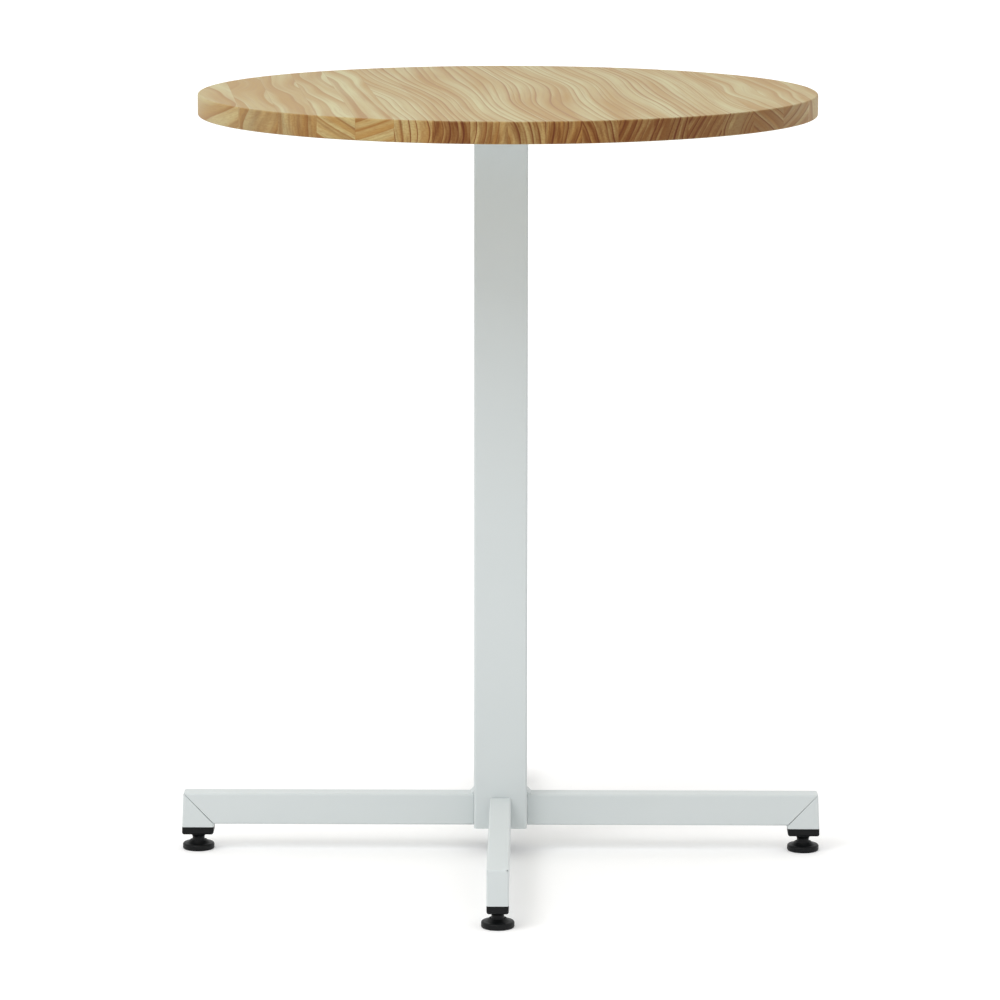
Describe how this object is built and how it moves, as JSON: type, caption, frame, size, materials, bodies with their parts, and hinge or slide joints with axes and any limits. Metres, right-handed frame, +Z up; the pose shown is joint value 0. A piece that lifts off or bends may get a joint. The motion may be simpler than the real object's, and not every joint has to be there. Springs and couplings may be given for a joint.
{
  "type": "standing meeting table",
  "caption": "Round timber top on a square steel column with a cross base of folded tube legs; each leg end has a screw-in levelling foot.",
  "frame": {"origin": "on the floor, on the axis of the column", "axes": "+Z up along the column, -Y towards the leg that faces the viewer, +X to the viewer's right"},
  "size_m": [0.907, 0.907, 1.08],
  "materials": {
    "timber": "clear satin lacquer",
    "powder_coat": "satin powder coat",
    "black_plastic": "fine moulded",
    "black_steel": "black coated",
    "zinc_steel": "zinc plated",
    "brass": "plain turned"
  },
  "bodies": {
    "frame": {"top_stave_01": "timber", "top_stave_02": "timber", "top_stave_03": "timber", "top_stave_04": "timber", "top_stave_05": "timber", "top_stave_06": "timber", "top_stave_07": "timber", "top_stave_08": "timber", "top_stave_09": "timber", "top_stave_10": "timber", "top_stave_11": "timber", "top_stave_12": "timber", "top_stave_13": "timber", "top_stave_14": "timber", "top_stave_15": "timber", "top_stave_16": "timber", "top_stave_17": "timber", "top_stave_18": "timber", "plate_screw_1": "zinc_steel", "plate_screw_2": "zinc_steel", "plate_screw_3": "zinc_steel", "plate_screw_4": "zinc_steel", "plate_screw_5": "zinc_steel", "plate_screw_6": "zinc_steel", "plate_screw_7": "zinc_steel", "plate_screw_8": "zinc_steel", "top_insert_1": "brass", "top_insert_2": "brass", "top_insert_3": "brass", "top_insert_4": "brass", "top_insert_5": "brass", "top_insert_6": "brass", "top_insert_7": "brass", "top_insert_8": "brass", "top_plate": "powder_coat", "column": "powder_coat", "leg_right": "powder_coat", "leg_plug_right": "black_plastic", "foot_nut_right": "zinc_steel", "leg_back": "powder_coat", "leg_plug_back": "black_plastic", "foot_nut_back": "zinc_steel", "leg_left": "powder_coat", "leg_plug_left": "black_plastic", "foot_nut_left": "zinc_steel", "leg_front": "powder_coat", "leg_plug_front": "black_plastic", "foot_nut_front": "zinc_steel"},
    "pad_right": {"foot_pad_right": "black_plastic"},
    "stem_right": {"foot_stem_right": "black_steel"},
    "pad_back": {"foot_pad_back": "black_plastic"},
    "stem_back": {"foot_stem_back": "black_steel"},
    "pad_left": {"foot_pad_left": "black_plastic"},
    "stem_left": {"foot_stem_left": "black_steel"},
    "pad_front": {"foot_pad_front": "black_plastic"},
    "stem_front": {"foot_stem_front": "black_steel"}
  },
  "joints": [
    {"name": "foot_lift_right", "type": "slide", "parent": "frame", "child": "pad_right", "axis": [0, 0, -1], "range_m": [0, 0.015]},
    {"name": "foot_turn_right", "type": "hinge", "parent": "pad_right", "child": "stem_right", "pos_m": [0.43064, 0, 0], "axis": [0, 0, -1], "range_deg": [0, 4321]},
    {"name": "foot_lift_back", "type": "slide", "parent": "frame", "child": "pad_back", "axis": [0, 0, -1], "range_m": [0, 0.015]},
    {"name": "foot_turn_back", "type": "hinge", "parent": "pad_back", "child": "stem_back", "pos_m": [0, 0.43064, 0], "axis": [0, 0, -1], "range_deg": [0, 4321]},
    {"name": "foot_lift_left", "type": "slide", "parent": "frame", "child": "pad_left", "axis": [0, 0, -1], "range_m": [0, 0.015]},
    {"name": "foot_turn_left", "type": "hinge", "parent": "pad_left", "child": "stem_left", "pos_m": [-0.43064, 0, 0], "axis": [0, 0, -1], "range_deg": [0, 4321]},
    {"name": "foot_lift_front", "type": "slide", "parent": "frame", "child": "pad_front", "axis": [0, 0, -1], "range_m": [0, 0.015]},
    {"name": "foot_turn_front", "type": "hinge", "parent": "pad_front", "child": "stem_front", "pos_m": [0, -0.43064, 0], "axis": [0, 0, -1], "range_deg": [0, 4321]}
  ],
  "couplings": [
    {"joint": "foot_turn_right", "follows": "foot_lift_right", "rad_per_m": 5026.5},
    {"joint": "foot_turn_back", "follows": "foot_lift_back", "rad_per_m": 5026.5},
    {"joint": "foot_turn_left", "follows": "foot_lift_left", "rad_per_m": 5026.5},
    {"joint": "foot_turn_front", "follows": "foot_lift_front", "rad_per_m": 5026.5}
  ]
}
